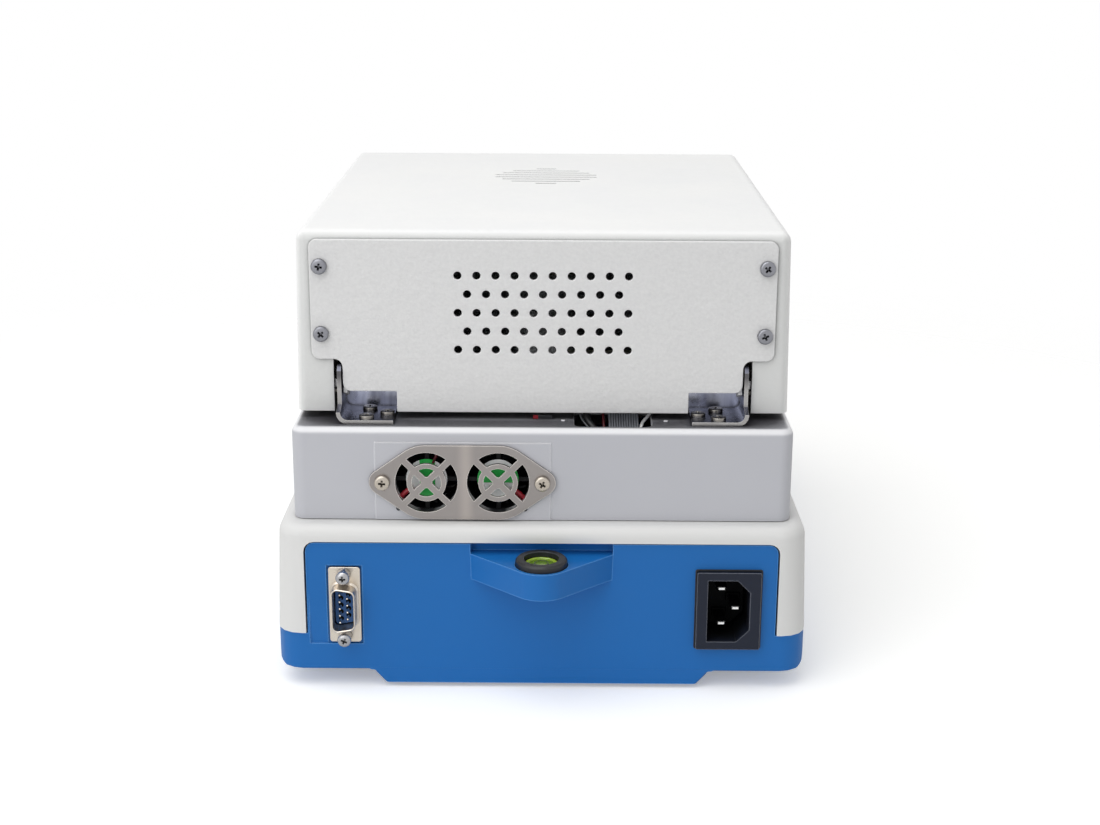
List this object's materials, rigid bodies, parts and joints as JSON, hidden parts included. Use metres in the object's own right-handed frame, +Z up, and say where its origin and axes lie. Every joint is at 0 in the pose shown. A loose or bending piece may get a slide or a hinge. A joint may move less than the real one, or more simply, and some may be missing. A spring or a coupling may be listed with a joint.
{
  "type": "halogen moisture analyzer",
  "caption": "Bench moisture analyzer with a hinged heater lid over a sample pan, sloping keypad console, twin rear fans, bubble level and rear sockets.",
  "frame": {"origin": "centre of the whole object's box on the bench plane under the feet", "axes": "+Z up; the operator stands at -Y facing +Y; sockets, fans and level face +Y; +X is to the operator's right"},
  "size_m": [0.201, 0.34, 0.1725],
  "materials": {
    "blue_plastic": "satin moulded",
    "white_plastic": "fine leather texture",
    "grey_plastic": "satin moulded",
    "black_plastic": "satin",
    "plate_paint": "textured powder coat",
    "steel": "brushed",
    "aluminium": "satin",
    "tin": "plated",
    "board": "lacquered",
    "clear_glass": "clear",
    "lamp_glass": "clear",
    "screen": "gloss",
    "lime": "clear fluid",
    "ceramic": "matt",
    "rubber": "matt",
    "cable_jacket": "satin",
    "wire_red": "satin",
    "ribbon_grey": "ribbed",
    "key_grey": "satin"
  },
  "bodies": {
    "base": {"base_pan": "blue_plastic", "top_housing": "white_plastic", "chamber_tray": "grey_plastic", "heat_shield": "steel", "draft_ring": "aluminium", "pan_support": "steel", "load_cell": "aluminium", "main_board": "board", "power_board": "board", "console_board": "board", "display_module": "screen", "display_window": "clear_glass", "fan_grille": "steel", "fan_housing_left": "black_plastic", "fan_housing_right": "black_plastic", "hinge_bracket_left": "steel", "hinge_bracket_right": "steel", "power_inlet": "black_plastic", "inlet_contacts": "tin", "serial_shell": "tin", "serial_insert": "blue_plastic", "level_ring": "black_plastic", "level_vial": "lime", "lid_bumper_left": "rubber", "lid_bumper_right": "rubber", "base_terminal": "ceramic", "lamp_cable": "cable_jacket", "sensor_wire": "wire_red", "ribbon_cable": "ribbon_grey"},
    "lid": {"lid_shell": "white_plastic", "rear_plate": "plate_paint", "lid_liner": "steel", "reflector": "aluminium", "halogen_lamp": "lamp_glass", "lamp_socket": "ceramic", "guard_glass": "clear_glass", "temperature_probe": "steel", "lid_handle": "key_grey", "pivot_pin_left": "steel", "pivot_pin_right": "steel", "lid_terminal": "ceramic"},
    "fan_rotor_left": {"fan_rotor_left": "black_plastic"},
    "fan_rotor_right": {"fan_rotor_right": "black_plastic"},
    "pan_lifter": {"pan_lifter": "steel"},
    "sample_pan": {"sample_pan": "aluminium"},
    "console_key_1": {"console_key_1": "key_grey"},
    "console_key_2": {"console_key_2": "key_grey"},
    "console_key_3": {"console_key_3": "key_grey"},
    "console_key_4": {"console_key_4": "key_grey"},
    "console_key_5": {"console_key_5": "key_grey"},
    "console_key_6": {"console_key_6": "key_grey"},
    "foot_rear_right": {"foot_rear_right": "rubber"},
    "foot_rear_left": {"foot_rear_left": "rubber"},
    "foot_front_right": {"foot_front_right": "rubber"},
    "foot_front_left": {"foot_front_left": "rubber"}
  },
  "joints": [
    {"name": "lid_hinge", "type": "hinge", "parent": "base", "child": "lid", "pos_m": [0, 0.123, 0.1138], "axis": [-1, 0, 0], "range_deg": [0, 90], "deforming": ["lamp_cable", "sensor_wire", "ribbon_cable"]},
    {"name": "fan_spin_left", "type": "hinge", "parent": "base", "child": "fan_rotor_left", "pos_m": [0.01635, 0.133, 0.0803], "axis": [0, 1, 0], "continuous": true},
    {"name": "fan_spin_right", "type": "hinge", "parent": "base", "child": "fan_rotor_right", "pos_m": [0.04305, 0.133, 0.0803], "axis": [0, 1, 0], "continuous": true},
    {"name": "key_press_1", "type": "slide", "parent": "base", "child": "console_key_1", "axis": [0, 0.3052, -0.9523], "range_m": [0, 0.001], "stiffness_N_per_m": 300, "springref_m": -0.0008},
    {"name": "key_press_2", "type": "slide", "parent": "base", "child": "console_key_2", "axis": [0, 0.3052, -0.9523], "range_m": [0, 0.001], "stiffness_N_per_m": 300, "springref_m": -0.0008},
    {"name": "key_press_3", "type": "slide", "parent": "base", "child": "console_key_3", "axis": [0, 0.3052, -0.9523], "range_m": [0, 0.001], "stiffness_N_per_m": 300, "springref_m": -0.0008},
    {"name": "key_press_4", "type": "slide", "parent": "base", "child": "console_key_4", "axis": [0, 0.3052, -0.9523], "range_m": [0, 0.001], "stiffness_N_per_m": 300, "springref_m": -0.0008},
    {"name": "key_press_5", "type": "slide", "parent": "base", "child": "console_key_5", "axis": [0, 0.3052, -0.9523], "range_m": [0, 0.001], "stiffness_N_per_m": 300, "springref_m": -0.0008},
    {"name": "key_press_6", "type": "slide", "parent": "base", "child": "console_key_6", "axis": [0, 0.3052, -0.9523], "range_m": [0, 0.001], "stiffness_N_per_m": 300, "springref_m": -0.0008},
    {"name": "lifter_raise", "type": "slide", "parent": "base", "child": "pan_lifter", "axis": [0, 0, 1], "range_m": [0, 0.008]},
    {"name": "pan_lift_off", "type": "slide", "parent": "pan_lifter", "child": "sample_pan", "axis": [0, 0, 1], "range_m": [0, 0.01]},
    {"name": "rear_right_screw", "type": "slide", "parent": "base", "child": "foot_rear_right", "axis": [0, 0, -1], "range_m": [0, 0.005]},
    {"name": "rear_left_screw", "type": "slide", "parent": "base", "child": "foot_rear_left", "axis": [0, 0, -1], "range_m": [0, 0.005]},
    {"name": "front_right_screw", "type": "slide", "parent": "base", "child": "foot_front_right", "axis": [0, 0, -1], "range_m": [0, 0.005]},
    {"name": "front_left_screw", "type": "slide", "parent": "base", "child": "foot_front_left", "axis": [0, 0, -1], "range_m": [0, 0.005]}
  ]
}
